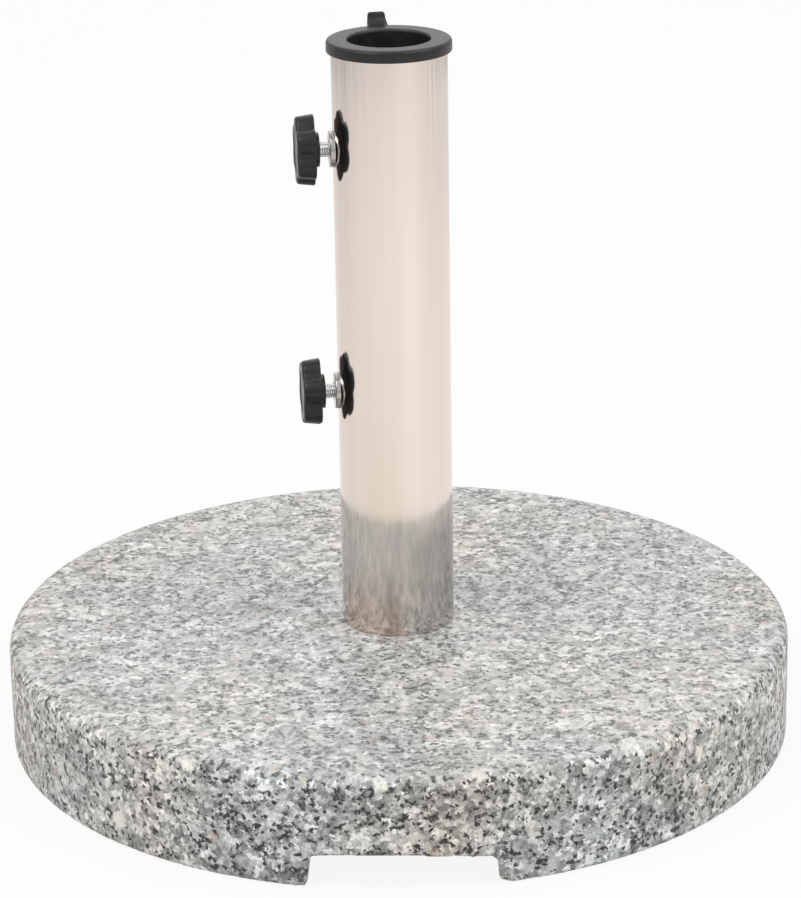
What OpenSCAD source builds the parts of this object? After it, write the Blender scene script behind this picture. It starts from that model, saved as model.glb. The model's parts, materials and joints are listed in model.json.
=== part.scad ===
// Parasol base: a round granite slab that carries an upright steel tube. A plastic collar in the
// tube's mouth guides the pole, and two star knobs clamp it.
// Millimetres, +Z up. The origin is the centre of the slab's underside, on the ground.

/* [Slab] */
// Diameter of the granite slab
slab_diameter = 420; // [380:5:460]
// Thickness of the slab
slab_height = 60; // [50:1:70]
// Rounding of the slab's top edge
slab_top_round = 7; // [2:0.5:12]
// Rounding of the slab's bottom edge
slab_foot_round = 1.5; // [0.5:0.5:4]
// Width of the channel that runs across under the slab, at the ground
channel_width = 92; // [70:1:120]
// How far each of the channel's walls leans in by the time it meets the roof
channel_draft = 1.5; // [0:0.5:3]
// Height of that channel, which also hides the bolt head
channel_height = 17; // [15:0.5:22]
// Rounding of the channel's corners
channel_round = 3; // [1:0.5:5]
// Diameter of the bolt hole through the slab
slab_hole = 14; // [13:0.5:16]

/* [Tube] */
// Outside diameter of the upright tube
tube_diameter = 60; // [57:0.5:63]
// Wall thickness of the tube
tube_wall = 1.5; // [1:0.1:2]
// Height of the whole base, from the ground to the collar's top face
base_height = 378; // [340:1:420]
// Thickness of the plate welded into the tube's foot
plate_thickness = 6; // [4:0.5:8]
// Leg of the weld bead between that plate and the tube
weld_leg = 3; // [1:0.5:4]

/* [Foot bolt] */
// Thread diameter of the bolt that holds the tube on the slab
bolt_thread = 12; // [10:1:12]
// Length of the bolt under its head
bolt_length = 70; // [65:5:80]
// Width of the bolt head and of the nut across their flats
bolt_flats = 19; // [17:1:19]
// Height of the bolt head
bolt_head = 7.5; // [6:0.5:8]
// Height of the welded nut
foot_nut_height = 10; // [8:0.5:11]
// Diameter of the wide washer under the slab
washer_diameter = 37; // [30:1:44]
// Thickness of the wide washer
washer_thickness = 3; // [2:0.5:3]
// Outside diameter of the split spring washer
spring_diameter = 21; // [20:0.5:24]
// Thickness of the split spring washer, pressed flat
spring_thickness = 2.5; // [2:0.1:3]

/* [Collar] */
// Diameter of the hole that the pole slides through
pole_hole = 42.5; // [36:0.5:46]
// How far the collar's flange stands out past the tube all round
flange_overhang = 2.4; // [2:0.1:5]
// Thickness of the flange on top of the tube
flange_thickness = 6.2; // [4:0.1:8]
// Depth of the collar's sleeve inside the tube
sleeve_depth = 34.5; // [20:0.5:40]
// Wall thickness of the sleeve
sleeve_wall = 2.2; // [1.5:0.1:2.5]
// Width of the finger tab where it leaves the back of the flange
tab_width = 11.5; // [9:0.5:14]
// Width of the finger tab at its tip
tab_tip_width = 8.6; // [6:0.2:9]
// How far the finger tab's strip bends up above the flange
tab_rise = 4.7; // [3:0.1:5]
// Direction of the finger tab, anticlockwise from the right-hand side
tab_azimuth = 100; // [80:1:110]

/* [Knobs] */
// Height of the upper knob's screw above the ground
upper_height = 321; // [300:1:324]
// Height of the lower knob's screw above the ground
lower_height = 190; // [150:1:230]
// How far the screws point forward of the left-hand side, in degrees
knob_swing = 6; // [0:0.5:15]
// Turn of the upper knob's lobes, in degrees
upper_turn = 1; // [-30:1:30]
// Turn of the lower knob's lobes, in degrees
lower_turn = -9; // [-30:1:30]
// Thread diameter of the clamping screws
stud_diameter = 8; // [6:1:8]
// Gap between the threaded insert and the knob's hub
knob_gap = 5.2; // [5.1:0.1:8]
// Radius over the knob's lobes
grip_radius = 18.7; // [17.6:0.1:20]
// Radius at the bottom of the valleys between the lobes
valley_radius = 15.6; // [15:0.1:16.2]
// Thickness of the lobed part of the knob
grip_thickness = 9.8; // [8:0.2:12]
// Diameter of the knob's round hub
hub_diameter = 18; // [14:1:20]
// Height of the knob's round hub
hub_height = 2.4; // [1:0.2:4]
// Diameter of the insert's flange on the tube
insert_flange = 19; // [16:0.5:20]
// Thickness of the insert's flange
insert_lip = 2.8; // [2:0.1:3.5]
// How far the tube's wall is pressed in to a flat under each insert's flange
seat_depth = 0.8; // [0.4:0.1:1]
// Diameter of the swivel pad on the screw's end
pad_diameter = 6.5; // [6:0.1:7]
// Length of the swivel pad
pad_length = 2.9; // [2.5:0.1:3.5]

/* [Hidden] */

$fn = 96;
over = 1;
running_gap = 0.05;

slab_radius = slab_diameter / 2;
tube_radius = tube_diameter / 2;
tube_inside = tube_radius - tube_wall;
tube_top = base_height - flange_thickness;

plate_play = 0.2;
plate_radius = tube_inside - plate_play;
plate_top = slab_height + plate_thickness;
weld_inset = weld_leg / 3;
weld_rise = weld_leg * 0.8;
bolt_radius = bolt_thread / 2;
head_radius = bolt_flats / 2;
washer_top = channel_height;
spring_top = washer_top - washer_thickness;
head_top = spring_top - spring_thickness;
head_chamfer = 1;
washer_play = 0.5;
spring_play = 0.2;
spring_split = 1.6;
spring_split_turn = 40;

flange_radius = tube_radius + flange_overhang;
flange_edge = 1.8;
mouth_round = 1.2;
pole_radius = pole_hole / 2;
sleeve_radius = pole_radius + sleeve_wall;
sleeve_foot = tube_top - sleeve_depth;
rib_count = 8;
rib_thickness = 2;
rib_play = 0.3;
rib_reach = tube_inside - rib_play;
rib_foot_gap = 4;
tab_thickness = 2.6;
tab_reach = 5.1;
tab_length = tab_reach + tab_thickness;

stud_radius = stud_diameter / 2;
insert_seat = tube_radius - seat_depth;
insert_face = insert_seat + insert_lip;
insert_bevel = 0.5;
insert_wall = 1.45;
insert_shank = stud_radius + insert_wall;
insert_play = 1;
insert_end = pole_radius + insert_play;
bulge_reach = 3;
insert_bulge = stud_radius + bulge_reach;
bulge_height = 1;
bulge_play = 0.05;
seat_margin = 0.3;
seat_radius = insert_flange / 2 + seat_margin;
hub_face = insert_face + knob_gap;
stud_in_grip = 8;
stud_chamfer = 0.6;
pad_play = 0.5;
pad_end = pole_radius + pad_play;
pad_floor = 0.9;
pivot_radius = 2;
pad_back = pad_end + pad_length;
stud_shoulder = pad_back + running_gap;

lobe_count = 6;
lobe_radius = 7.5;
lobe_orbit = grip_radius - lobe_radius;
lobe_step = 360 / lobe_count;
lobe_side = lobe_orbit * sin(lobe_step / 2);
lobe_along = lobe_orbit * cos(lobe_step / 2);
// Radius of the arc that touches two neighbouring lobes and the valley's bottom
valley_cut = (pow(lobe_orbit, 2) + pow(valley_radius, 2) - pow(lobe_radius, 2)
    - 2 * valley_radius * lobe_along) / (2 * (lobe_radius - valley_radius + lobe_along));
valley_orbit = valley_radius + valley_cut;
valley_overlap = 0.03;
grip_edge = 1.2;
grip_taper = 0.9;

// ---------------------------------------------------------------- shared shapes

// Puts a shape that stands on +Z at a knob's height, with +Z pointing out of the tube
module on_screw_axis(height) {
    translate([0, 0, height])
        rotate([0, 0, 180 + knob_swing])
            rotate([0, 90, 0])
                children();
}

// Half outline of a disc with a rounded top edge and a rounded bottom edge
module disc_outline(radius, height, top_round, foot_round) {
    square([radius - top_round, height]);
    translate([0, foot_round])
        square([radius, height - top_round - foot_round]);
    square([radius - foot_round, height - top_round]);
    translate([radius - top_round, height - top_round])
        circle(top_round);
    translate([radius - foot_round, foot_round])
        circle(foot_round);
}

// A six-sided prism, measured across its flats
module hexagon(flats, height) {
    cylinder(d = flats / cos(30), h = height, $fn = 6);
}

// ---------------------------------------------------------------- slab

// Cross-section of the channel: a rounded roof, and lower edges that flare out
module channel_outline() {
    half = channel_width / 2;
    roof_half = half - channel_draft;
    shoulder = channel_height - channel_round;
    polygon([
        [-half, -over],
        [half, -over],
        [half, 0],
        [roof_half, shoulder],
        [roof_half - channel_round, channel_height],
        [channel_round - roof_half, channel_height],
        [-roof_half, shoulder],
        [-half, 0]
    ]);
    for (side = [-1, 1])
        translate([side * (roof_half - channel_round), shoulder])
            circle(channel_round);
    for (side = [-1, 1])
        difference() {
            translate([side * half - channel_round, -over])
                square([2 * channel_round, channel_round + over]);
            translate([side * (half + channel_round), channel_round])
                circle(channel_round);
        }
}

module granite_base() {
    color("lightgray")
    difference() {
        rotate_extrude()
            disc_outline(slab_radius, slab_height, slab_top_round, slab_foot_round);
        rotate([90, 0, 0])
            translate([0, 0, -slab_radius - over])
                linear_extrude(slab_diameter + 2 * over)
                    channel_outline();
        cylinder(d = slab_hole, h = slab_height + over);
    }
}

// ---------------------------------------------------------------- tube and its foot

module support_tube() {
    color([0.88, 0.84, 0.79])
    difference() {
        union() {
            difference() {
                translate([0, 0, slab_height])
                    cylinder(r = tube_radius, h = tube_top - slab_height);
                translate([0, 0, slab_height - over])
                    cylinder(r = tube_inside, h = tube_top - slab_height + 2 * over);
                seat_outside(upper_height);
                seat_outside(lower_height);
            }
            seat_inside(upper_height);
            seat_inside(lower_height);
        }
        for (height = [upper_height, lower_height])
            on_screw_axis(height)
                cylinder(r = insert_shank + running_gap, h = tube_radius + over);
    }
}

// Where an insert sits, the wall is pressed in to a flat: first what the tube loses outside
module seat_outside(height) {
    on_screw_axis(height)
        translate([0, 0, insert_seat])
            cylinder(r = seat_radius, h = seat_depth + over);
}

// Then what stands inward of the round wall
module seat_inside(height) {
    intersection() {
        translate([0, 0, slab_height])
            cylinder(r = tube_radius - tube_wall / 2, h = tube_top - slab_height);
        on_screw_axis(height)
            translate([0, 0, insert_seat - tube_wall])
                cylinder(r = seat_radius, h = tube_wall);
    }
}

module foot_plate() {
    color("silver")
    translate([0, 0, slab_height])
        difference() {
            cylinder(r = plate_radius, h = plate_thickness);
            translate([0, 0, -over])
                cylinder(r = bolt_radius + running_gap, h = plate_thickness + 2 * over);
        }
}

// Fillet weld all round inside the tube, on top of the plate
module foot_weld() {
    color("dimgray")
    rotate_extrude()
        polygon([
            [plate_radius - weld_leg, plate_top],
            [tube_inside, plate_top],
            [tube_inside, plate_top + weld_leg],
            [tube_inside - weld_inset, plate_top + weld_rise],
            [tube_inside - weld_rise, plate_top + weld_inset]
        ]);
}

module foot_nut() {
    color("silver")
    translate([0, 0, plate_top])
        difference() {
            hexagon(bolt_flats, foot_nut_height);
            translate([0, 0, -over])
                cylinder(r = bolt_radius + running_gap, h = foot_nut_height + 2 * over);
        }
}

module base_bolt() {
    color("silver") {
        translate([0, 0, head_top - bolt_head])
            intersection() {
                hexagon(bolt_flats, bolt_head);
                rotate_extrude()
                    polygon([
                        [0, 0],
                        [head_radius, 0],
                        [head_radius + head_chamfer / tan(30), head_chamfer],
                        [head_radius + head_chamfer / tan(30), bolt_head],
                        [0, bolt_head]
                    ]);
            }
        translate([0, 0, head_top])
            cylinder(r = bolt_radius, h = bolt_length - head_chamfer);
        translate([0, 0, head_top + bolt_length - head_chamfer])
            cylinder(r1 = bolt_radius, r2 = bolt_radius - head_chamfer, h = head_chamfer);
    }
}

module wide_washer() {
    color("silver")
    translate([0, 0, washer_top - washer_thickness])
        difference() {
            cylinder(d = washer_diameter, h = washer_thickness);
            translate([0, 0, -over])
                cylinder(r = bolt_radius + washer_play, h = washer_thickness + 2 * over);
        }
}

module spring_washer() {
    color("silver")
    translate([0, 0, head_top])
        difference() {
            cylinder(d = spring_diameter, h = spring_thickness);
            translate([0, 0, -over])
                cylinder(r = bolt_radius + spring_play, h = spring_thickness + 2 * over);
            rotate([0, 0, spring_split_turn])
                translate([0, -spring_split / 2, -over])
                    cube([spring_diameter, spring_split, spring_thickness + 2 * over]);
        }
}

// ---------------------------------------------------------------- collar

// Half outline of the flange and the sleeve, with a rounded mouth
module collar_outline() {
    translate([pole_radius, sleeve_foot])
        square([sleeve_wall, sleeve_depth]);
    translate([pole_radius, tube_top])
        square([mouth_round, flange_thickness - mouth_round]);
    translate([pole_radius + mouth_round, tube_top])
        square([flange_radius - flange_edge - pole_radius - mouth_round, flange_thickness]);
    translate([pole_radius + mouth_round, base_height - mouth_round])
        circle(mouth_round);
    translate([pole_radius + mouth_round, tube_top])
        square([flange_radius - pole_radius - mouth_round, flange_thickness - flange_edge]);
    translate([flange_radius - flange_edge, base_height - flange_edge])
        circle(flange_edge);
}

// Side view of the finger tab: a strip that bends up from the flange's rim
module tab_outline() {
    bend = (pow(tab_reach, 2) + pow(tab_rise, 2)) / (2 * tab_rise);
    sweep = asin(tab_reach / bend);
    middle = bend + tab_thickness / 2;
    far = 2 * bend;
    translate([flange_radius - flange_edge, base_height + bend]) {
        intersection() {
            difference() {
                circle(bend + tab_thickness);
                circle(bend);
            }
            polygon([
                [0, 0],
                [-flange_edge, -far],
                [far * tan(sweep / 2), -far],
                far * [sin(sweep), -cos(sweep)]
            ]);
        }
        translate(middle * [sin(sweep), -cos(sweep)])
            circle(tab_thickness / 2);
    }
}

// The finger tab stands on the flange's rim, and narrows towards its tip
module finger_tab() {
    root = tab_width / 2;
    tip = tab_tip_width / 2;
    start = flange_radius - 2 * flange_edge;
    end = flange_radius - flange_edge + tab_length;
    rotate([0, 0, tab_azimuth])
        intersection() {
            rotate([90, 0, 0])
                translate([0, 0, -root])
                    linear_extrude(tab_width)
                        tab_outline();
            translate([0, 0, tube_top])
                linear_extrude(flange_thickness + tab_rise + 2 * tab_length)
                    polygon([
                        [start, -root],
                        [end, -tip],
                        [end, tip],
                        [start, root]
                    ]);
        }
}

module top_collar() {
    color("dimgray") {
        rotate_extrude()
            collar_outline();
        for (i = [0 : rib_count - 1])
            rotate([0, 0, (i + 0.5) * 360 / rib_count])
                translate([sleeve_radius - sleeve_wall / 2, -rib_thickness / 2, sleeve_foot + rib_foot_gap])
                    cube([
                        rib_reach - sleeve_radius + sleeve_wall / 2,
                        rib_thickness,
                        sleeve_depth - rib_foot_gap + over
                    ]);
        finger_tab();
    }
}

// ---------------------------------------------------------------- clamping screws

// Threaded insert: a flange outside the tube, a shank through its wall, and a swaged bulge inside
module insert(height) {
    bore = stud_radius + running_gap;
    rim = insert_flange / 2;
    bulge_top = min(insert_seat - tube_wall, sqrt(pow(tube_inside, 2) - pow(insert_bulge, 2))) - bulge_play;
    color("silver")
    on_screw_axis(height)
        rotate_extrude()
            polygon([
                [bore, insert_end],
                [insert_shank, insert_end],
                [insert_shank, bulge_top - 2 * bulge_height],
                [insert_bulge, bulge_top - bulge_height],
                [insert_bulge, bulge_top],
                [insert_shank, bulge_top],
                [insert_shank, insert_seat],
                [rim, insert_seat],
                [rim, insert_face - insert_bevel],
                [rim - insert_bevel, insert_face],
                [bore, insert_face]
            ]);
}

// Screw: a pivot that carries the swivel pad, a chamfered end, and the threaded length
module stud(height) {
    color("silver")
    on_screw_axis(height)
        rotate_extrude()
            polygon([
                [0, pad_end + pad_floor + running_gap],
                [pivot_radius, pad_end + pad_floor + running_gap],
                [pivot_radius, stud_shoulder],
                [stud_radius - stud_chamfer, stud_shoulder],
                [stud_radius, stud_shoulder + stud_chamfer],
                [stud_radius, hub_face + stud_in_grip],
                [0, hub_face + stud_in_grip]
            ]);
}

// Plastic pad that turns on the screw's pivot and presses on the pole
module pad(height) {
    color("white")
    on_screw_axis(height)
        difference() {
            translate([0, 0, pad_end])
                cylinder(d = pad_diameter, h = pad_length);
            translate([0, 0, pad_end + pad_floor])
                cylinder(r = pivot_radius + running_gap, h = pad_length);
        }
}

// Fills the space between two neighbouring lobes, out to the points where the valley's arc meets them
module valley_web() {
    share = lobe_radius / (lobe_radius + valley_cut);
    reach = lobe_along + share * (valley_orbit - lobe_along);
    side = lobe_side * (1 - share);
    polygon([
        [0, 0],
        [lobe_along, -lobe_side],
        [reach, -side],
        [reach, side],
        [lobe_along, lobe_side]
    ]);
}

// Outline of the knob: round lobes with a hollow valley between each pair
module star_outline() {
    difference() {
        union() {
            for (i = [0 : lobe_count - 1])
                rotate(i * lobe_step)
                    translate([lobe_orbit, 0])
                        circle(lobe_radius);
            for (i = [0 : lobe_count - 1])
                rotate((i + 0.5) * lobe_step)
                    valley_web();
        }
        for (i = [0 : lobe_count - 1])
            rotate((i + 0.5) * lobe_step)
                translate([valley_orbit, 0])
                    circle(valley_cut + valley_overlap);
    }
}

// Knob: a lobed head that tapers outward, a round hub towards the tube, and a hole for the screw
module grip(height, turn) {
    head_foot = hub_face + hub_height;
    head_top = head_foot + grip_thickness;
    color([0.18, 0.18, 0.19])
    on_screw_axis(height)
        difference() {
            union() {
                intersection() {
                    translate([0, 0, head_foot])
                        rotate(turn)
                            linear_extrude(grip_thickness)
                                star_outline();
                    rotate_extrude()
                        polygon([
                            [0, head_foot],
                            [grip_radius - grip_edge / 2, head_foot],
                            [grip_radius, head_foot + grip_edge / 2],
                            [grip_radius - grip_taper, head_top - grip_edge],
                            [grip_radius - grip_taper - grip_edge, head_top],
                            [0, head_top]
                        ]);
                }
                translate([0, 0, hub_face])
                    cylinder(d = hub_diameter, h = hub_height + over);
            }
            translate([0, 0, hub_face - over])
                cylinder(r = stud_radius, h = stud_in_grip + over);
        }
}

module upper_insert() { insert(upper_height); }
module upper_stud() { stud(upper_height); }
module upper_grip() { grip(upper_height, upper_turn); }
module upper_pad() { pad(upper_height); }
module lower_insert() { insert(lower_height); }
module lower_stud() { stud(lower_height); }
module lower_grip() { grip(lower_height, lower_turn); }
module lower_pad() { pad(lower_height); }

granite_base();
support_tube();
foot_plate();
foot_weld();
foot_nut();
base_bolt();
wide_washer();
spring_washer();
top_collar();
upper_insert();
upper_stud();
upper_grip();
upper_pad();
lower_insert();
lower_stud();
lower_grip();
lower_pad();
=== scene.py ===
import json
import math

import bpy
import numpy as np
from mathutils import Matrix, Vector, noise


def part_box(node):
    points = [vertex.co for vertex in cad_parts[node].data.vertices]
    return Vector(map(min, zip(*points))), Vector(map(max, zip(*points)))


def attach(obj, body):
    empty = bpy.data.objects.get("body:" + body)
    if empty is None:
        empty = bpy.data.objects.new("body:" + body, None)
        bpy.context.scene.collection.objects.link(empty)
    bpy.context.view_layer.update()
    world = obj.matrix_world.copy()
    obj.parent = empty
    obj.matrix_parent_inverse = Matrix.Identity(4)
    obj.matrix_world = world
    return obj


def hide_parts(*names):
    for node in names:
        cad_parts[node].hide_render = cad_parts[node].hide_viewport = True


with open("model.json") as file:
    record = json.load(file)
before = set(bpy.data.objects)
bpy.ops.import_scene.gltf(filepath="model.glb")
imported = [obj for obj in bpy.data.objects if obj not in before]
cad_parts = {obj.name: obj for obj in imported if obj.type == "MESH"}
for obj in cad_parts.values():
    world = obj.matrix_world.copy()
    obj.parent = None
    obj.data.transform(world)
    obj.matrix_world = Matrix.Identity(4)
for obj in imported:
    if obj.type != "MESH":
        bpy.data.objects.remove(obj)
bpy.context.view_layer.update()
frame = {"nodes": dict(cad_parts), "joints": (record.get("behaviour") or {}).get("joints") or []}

MM = 0.001

# ---------------------------------------------------------------- camera

CAMERA_DISTANCE = 1.6856
CAMERA_HEIGHT = 0.7518
CAMERA_YAW = math.radians(0.087)
CAMERA_PITCH = math.radians(19.486)
CAMERA_ROLL = math.radians(-0.934)
CAMERA_LENS = 134.62
SENSOR_WIDTH = 36


def make_camera():
    """A long lens in front of the base, looking down on it, with a slight roll."""
    data = bpy.data.cameras.new("camera")
    data.lens = CAMERA_LENS
    data.sensor_width = SENSOR_WIDTH
    camera = bpy.data.objects.new("camera", data)
    turn = Matrix.Rotation(-CAMERA_YAW, 4, "Z")
    tilt = Matrix.Rotation(math.pi / 2 - CAMERA_PITCH, 4, "X")
    roll = Matrix.Rotation(CAMERA_ROLL, 4, "Z")
    place = Matrix.Translation((0, -CAMERA_DISTANCE, CAMERA_HEIGHT))
    camera.matrix_world = place @ turn @ tilt @ roll
    bpy.context.scene.collection.objects.link(camera)
    bpy.context.scene.camera = camera


# ---------------------------------------------------------------- mesh helpers

def add_object(name, mesh):
    piece = bpy.data.objects.new(name, mesh)
    bpy.context.scene.collection.objects.link(piece)
    return piece


def arc(centre, radius, start, end, steps):
    """Points on an arc, from one angle to the other in degrees, both ends included."""
    angles = np.radians(np.linspace(start, end, steps + 1))
    return [(centre[0] + radius * math.cos(a), centre[1] + radius * math.sin(a)) for a in angles]


def circle(radius, height, angles):
    return [(radius * math.cos(a), radius * math.sin(a), height) for a in angles]


def arc_rings(centre, radius, start, end, steps, angles):
    """Rings of a turned shape, along an arc of its outline of (radius, height) points."""
    return [circle(r, z, angles) for r, z in arc(centre, radius, start, end, steps)]


def even_angles(count):
    return [2 * math.pi * i / count for i in range(count)]


def loft(name, rings, closed=False, caps=True):
    """Joins rings of equal length, each anticlockwise from above, in the order in which the outer
    surface climbs. closed joins the last ring to the first; caps fills the two end rings with a fan."""
    count = len(rings[0])
    points = [p for ring in rings for p in ring]
    faces = []
    last = len(rings) if closed else len(rings) - 1
    for j in range(last):
        a = j * count
        b = ((j + 1) % len(rings)) * count
        for i in range(count):
            k = (i + 1) % count
            faces.append((a + i, a + k, b + k, b + i))
    if caps and not closed:
        for first, flip in ((0, True), ((len(rings) - 1) * count, False)):
            middle = len(points)
            points.append(tuple(np.mean(points[first:first + count], axis=0)))
            for i in range(count):
                k = (i + 1) % count
                faces.append((first + k, first + i, middle) if flip else (first + i, first + k, middle))
    mesh = bpy.data.meshes.new(name)
    mesh.from_pydata(points, [], faces)
    mesh.update()
    return add_object(name, mesh)


def lathe(name, outline, segments=96):
    """Turns a closed outline of (radius, height) points, anticlockwise, round the Z axis."""
    angles = even_angles(segments)
    return loft(name, [circle(r, z, angles) for r, z in outline], closed=True)


def lathe_solid(name, outline, segments=96):
    """Turns an open outline of (radius, height) points, from foot to top, into a solid with flat ends."""
    angles = even_angles(segments)
    return loft(name, [circle(r, z, angles) for r, z in outline])


def bake(piece):
    """Applies the piece's modifiers."""
    graph = bpy.context.evaluated_depsgraph_get()
    mesh = bpy.data.meshes.new_from_object(piece.evaluated_get(graph))
    piece.modifiers.clear()
    piece.data = mesh
    return piece


def combine(piece, other, operation):
    """Cuts or joins another solid into the piece, and removes the other."""
    step = piece.modifiers.new("combine", "BOOLEAN")
    step.operation = operation
    step.solver = "EXACT"
    step.object = other
    bake(piece)
    bpy.data.objects.remove(other)
    return piece


def smooth(piece, sharp_angle=35):
    piece.data.shade_smooth()
    piece.data.set_sharp_from_angle(angle=math.radians(sharp_angle))
    return piece


def vertex_values(mesh, key):
    """The vertices' places ("co") or normals ("normal"), one row for each."""
    values = np.empty(len(mesh.vertices) * 3, np.float64)
    mesh.vertices.foreach_get(key, values)
    return values.reshape(-1, 3)


def finish_piece(piece, body, slot, material, *nodes):
    """Gives a piece its material and its body, and hides the CAD nodes that it stands for."""
    piece.data.materials.clear()
    piece.data.materials.append(material)
    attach(piece, body)
    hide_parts(*nodes)
    return piece


# ---------------------------------------------------------------- node material helpers

def rgba(value):
    """A colour with its alpha added. A node's socket is passed on as it is."""
    return value if isinstance(value, bpy.types.NodeSocket) else (*value, 1)


class Shader:
    """A material or a world whose nodes are added by short calls. An input is a value or another
    node's socket."""

    def __init__(self, name, kind="materials"):
        self.owner = getattr(bpy.data, kind).new(name)
        self.owner.use_nodes = True
        self.tree = self.owner.node_tree

    def set(self, node, inputs):
        for key, value in inputs.items():
            if isinstance(value, bpy.types.NodeSocket):
                self.tree.links.new(value, node.inputs[key])
            else:
                node.inputs[key].default_value = value

    def add(self, kind, inputs=None, **settings):
        node = self.tree.nodes.new("ShaderNode" + kind)
        for key, value in settings.items():
            setattr(node, key, value)
        self.set(node, inputs or {})
        return node

    def math(self, operation, a, b=0.0, clamp=False):
        return self.add("Math", {0: a, 1: b}, operation=operation, use_clamp=clamp).outputs[0]

    def plus(self, a, b):
        return self.math("ADD", a, b)

    def minus(self, a, b, clamp=False):
        return self.math("SUBTRACT", a, b, clamp)

    def times(self, a, b, clamp=False):
        return self.math("MULTIPLY", a, b, clamp)

    def position(self, stretch=(1, 1, 1)):
        """The point on the object in millimetres, with each axis stretched."""
        source = self.add("TexCoord").outputs["Object"]
        scale = [1000 * s for s in stretch]
        return self.add("Mapping", {"Vector": source, "Scale": scale}).outputs[0]

    def noise(self, vector, size, detail=2.0, roughness=0.5):
        """Noise whose features are about size millimetres across."""
        return self.add("TexNoise", {
            "Vector": vector, "Scale": 1 / size, "Detail": detail, "Roughness": roughness})

    def ramp(self, value, stops):
        """A value turned into a colour or a grey level by stops, each a place and what it shows."""
        node = self.add("ValToRGB", {"Fac": value})
        elements = node.color_ramp.elements
        while len(elements) < len(stops):
            elements.new(0.5)
        for element, (place, colour) in zip(elements, stops):
            element.position = place
            element.color = (*colour, 1) if hasattr(colour, "__len__") else (colour, colour, colour, 1)
        return node.outputs["Color"]

    def mix(self, factor, a, b, blend="MIX"):
        """Mixes two colours. The node's colour inputs are its sockets 6 and 7."""
        node = self.add("Mix", {"Factor": factor, 6: rgba(a), 7: rgba(b)}, data_type="RGBA", blend_type=blend)
        return node.outputs[2]

    def tint(self, mask, colour, tint):
        """Multiplies a colour by a tint where the mask is 1."""
        return self.mix(mask, colour, self.mix(1.0, colour, tint, "MULTIPLY"))

    def bump(self, height, distance, strength=1.0):
        """Surface relief, with its full height in millimetres."""
        return self.add("Bump", {
            "Height": height, "Distance": distance * MM, "Strength": strength}).outputs[0]

    def done(self, **inputs):
        """Sets the surface's inputs and returns the material."""
        names = {"color": "Base Color", "metallic": "Metallic", "roughness": "Roughness",
                 "normal": "Normal", "ior": "IOR", "specular": "Specular IOR Level",
                 "subsurface": "Subsurface Weight", "emission": "Emission Color", "glow": "Emission Strength"}
        surface = self.tree.nodes["Principled BSDF"]
        for key, value in inputs.items():
            self.set(surface, {names[key]: rgba(value) if key in ("color", "emission") else value})
        return self.owner


# ---------------------------------------------------------------- materials

# The top's tone, with less contrast than the side's, is painted sheen.
TOP_SHEEN_CONTRAST, TOP_SHEEN_GAIN = 1.16, 0.89
SIDE_CONTRAST, SIDE_GAIN = 1.85, 1.68
# tone towards the side's left and right ends, with less contrast than its front
SIDE_END_CONTRAST, SIDE_END_GAIN = 1.45, 1.37
MOSAIC_SIZE, FINE_SIZE, FLAKE_SIZE, WHITE_SIZE, PINK_SIZE = 3.4, 1.5, 1.9, 14.0, 10.0     # millimetres
STONE_TONES = [
    (0.10, (0.31, 0.315, 0.31)), (0.34, (0.48, 0.485, 0.475)),
    (0.62, (0.62, 0.625, 0.61)), (0.90, (0.80, 0.80, 0.785))]
SMOKY_QUARTZ = (0.33, 0.335, 0.33)
MICA_CLUSTER = (0.09, 0.095, 0.095)
MICA_FLAKE = (0.085, 0.09, 0.09)
WHITE_FELDSPAR = (0.73, 0.72, 0.68)
PINK_FELDSPAR = (0.60, 0.52, 0.47)


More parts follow.
